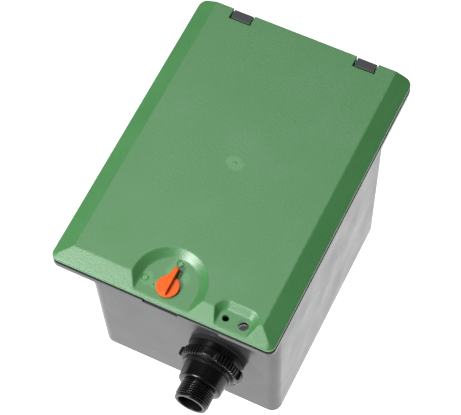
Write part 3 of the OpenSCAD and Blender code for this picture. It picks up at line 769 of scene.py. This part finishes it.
def port_turn(side):
    """Turns +Z to point out of the front (side -1) or the back (side 1), along the pipe axis."""
    turn = Matrix.Rotation(math.radians(-90 * side), 4, "X")
    return Matrix.Translation((PORT_X * MM, 0, PORT_Z * MM)) @ turn


def rounded_step(value):
    """Eased step from 0 to 1."""
    value = min(1.0, max(0.0, value))
    return value * value * (3 - 2 * value)


def nut_radius(turn):
    """Full radius of the nut's head at a part of a turn: fine teeth between plain lobes."""
    arc = abs((turn * NUT_LOBES + 0.5) % 1 - 0.5) / NUT_LOBES * math.tau * 22.8
    wave = abs((turn * NUT_TEETH) % 1 - 0.5) * 2
    plain = min(1.0, max(0.0, (7.6 - arc) / 1.0))
    toothed = TOOTH_ROOT + TOOTH_H * rounded_step((wave - 0.28) / 0.42)
    return toothed * (1 - plain) + LOBE_BASE * plain + LOBE_H * rounded_step((6.6 - arc) / 3.4)


def turned(name, rows, side, material, sharp):
    """Closed ring-shaped skin along a pipe axis, from rows of (radius, z) points round the axis."""
    count = len(rows[0])
    spokes = [(math.cos(math.tau * i / count), math.sin(math.tau * i / count)) for i in range(count)]
    rings = [[(r * c, r * s, z) for (r, z), (c, s) in zip(row, spokes)] for row in rows]
    made = loft(name, rings, material, caps=False)
    made.data.transform(port_turn(side))
    smooth_by_angle(made, sharp)
    return made


def make_nut(name, side, pad, material):
    """Clamping nut: plain skirt, then a finely toothed head with four smooth lobes."""
    start = pad + NUT_START
    heads = [nut_radius(i / NUT_STEPS) for i in range(NUT_STEPS)]
    rows = [[(r, start + z)] * NUT_STEPS for r, z in NUT_SKIRT]
    rows += [[(max(HEAD_MIN, head - drop), start + z) for head in heads] for drop, z in NUT_HEAD]
    rows += [[(r, start + z)] * NUT_STEPS for r, z in NUT_CLOSING]
    return turned(name, rows, side, material, 42)


def thread_row(z):
    """One row of the wound thread, which fades in and out at its ends."""
    fade = max(0.0, min(1.0, (z - THREAD_START) / 1.0, (THREAD_END - z) / 0.8))
    row = []
    for i in range(TUBE_SIDES):
        crest = (0.5 + 0.5 * math.cos(math.tau * (z / THREAD_PITCH - i / TUBE_SIDES))) ** 1.5
        row.append((THREAD_ROOT + THREAD_H * fade * crest, z))
    return row


def make_tube(name, side, material):
    """Telescopic tube with its groove, tapered neck, collar and a wound pipe thread."""
    rows = [[(r, z)] * TUBE_SIDES for r, z in TUBE_OUTSIDE]
    steps = round((THREAD_END - THREAD_START) / THREAD_STEP) + 1
    rows += [thread_row(THREAD_START + k * THREAD_STEP) for k in range(steps)]
    rows += [[(r, z)] * TUBE_SIDES for r, z in TUBE_MOUTH]
    return turned(name, rows, side, material, 50)


# ---------- springs ----------

# Node: coil radius, wire radius, turns, low end, high end, joint that presses it, travel
SPRINGS = {
    "diaphragm_spring": (8.0, 0.8, 4, 107.5, 121.0, "disc_lift", 3.0),
    "plunger_spring": (2.8, 0.4, 5, 137.0, 145.0, "plunger_lift", 2.0),
}


def make_spring(node, radius, wire, turns, low, high, joint, travel, material):
    """Coil spring standing between its low and high seats."""
    sides, steps = 10, 28 * turns
    rise = high - low - 2 * wire
    rings = []
    for k in range(steps + 1):
        a = math.tau * turns * k / steps
        middle = low + wire + rise * k / steps
        ring = []
        for i in range(sides):
            b = math.tau * i / sides
            out = radius + wire * math.cos(b)
            ring.append((PORT_X + out * math.cos(a), out * math.sin(a), middle + wire * math.sin(b)))
        rings.append(ring)
    spring = loft(f"{node}_coil", rings, material)
    smooth_by_angle(spring, 50)
    place([spring], "box", "steel", node)
    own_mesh(spring)


# ---------- putting it together ----------

# Width of the rounded edges of each CAD node that stays in view
BEVELS = {
    "box_body": 0.5, "hinge_clip_left": 0.5, "hinge_clip_right": 0.5, "lock_bar": 0.3,
    "inlet_sleeve": 0.3, "outlet_sleeve": 0.3, "inlet_washer": 0.3, "outlet_washer": 0.3,
    "inlet_union_nut": 0.5, "outlet_union_nut": 0.5, "valve_body": 0.5, "valve_bonnet": 0.5,
    "bleed_lever": 0.4, "solenoid": 0.6, "control_housing": 0.5, "control_cover": 0.5,
    "battery_door": 0.35, "control_button": 0.5, "battery": 0.5, "circuit_board": 0.1,
    "hinge_pin_left": 0.3, "hinge_pin_right": 0.3, "lock_screw": 0.1, "bonnet_screws": 0.15,
    "control_screws": 0.12,
}


def soften(node, width):
    """Rounds the edges of a CAD node that stays in view."""
    change = frame["nodes"][node].modifiers.new("soften", "BEVEL")
    change.width = width * MM
    change.segments = 3
    change.limit_method = "ANGLE"
    change.angle_limit = math.radians(40)
    change.use_clamp_overlap = True


def place(pieces, body, slot, *nodes):
    """Pieces ride on a body, and the given CAD nodes are hidden; slot is not used."""
    for piece in pieces:
        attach(piece, body)
    if nodes:
        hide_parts(*nodes)


make_camera()
make_studio()
materials = make_materials()

green, orange = materials["green_plastic"], materials["orange_plastic"]
slot_of = {part["node"]: part["material_slot"] for part in frame["record"]["subparts"]}
for node, shown in frame["nodes"].items():
    shown.data.materials.clear()
    shown.data.materials.append(materials[slot_of[node]])
for node, width in BEVELS.items():
    soften(node, width)

place([make_lid(green)], "lid", "green_plastic", "lid")
place(make_lid_inside(green), "lid", "green_plastic")
place(make_knob(orange), "lock", "orange_plastic", "lock_knob")
# The black finish paints a highlight on the nut teeth and the thread crests through its lighter edges
black = materials["black_plastic"]
for port, side, pad in (("inlet", -1, 93.0), ("outlet", 1, 94.8)):
    nut = make_nut(f"{port}_nut_head", side, pad, black)
    tube = make_tube(f"{port}_tube_thread", side, black)
    place([nut], f"{port}_nut", "black_plastic", f"{port}_nut")
    place([tube], f"{port}_tube", "black_plastic", f"{port}_tube")

for node, facts in SPRINGS.items():
    make_spring(node, *facts, materials["steel"])
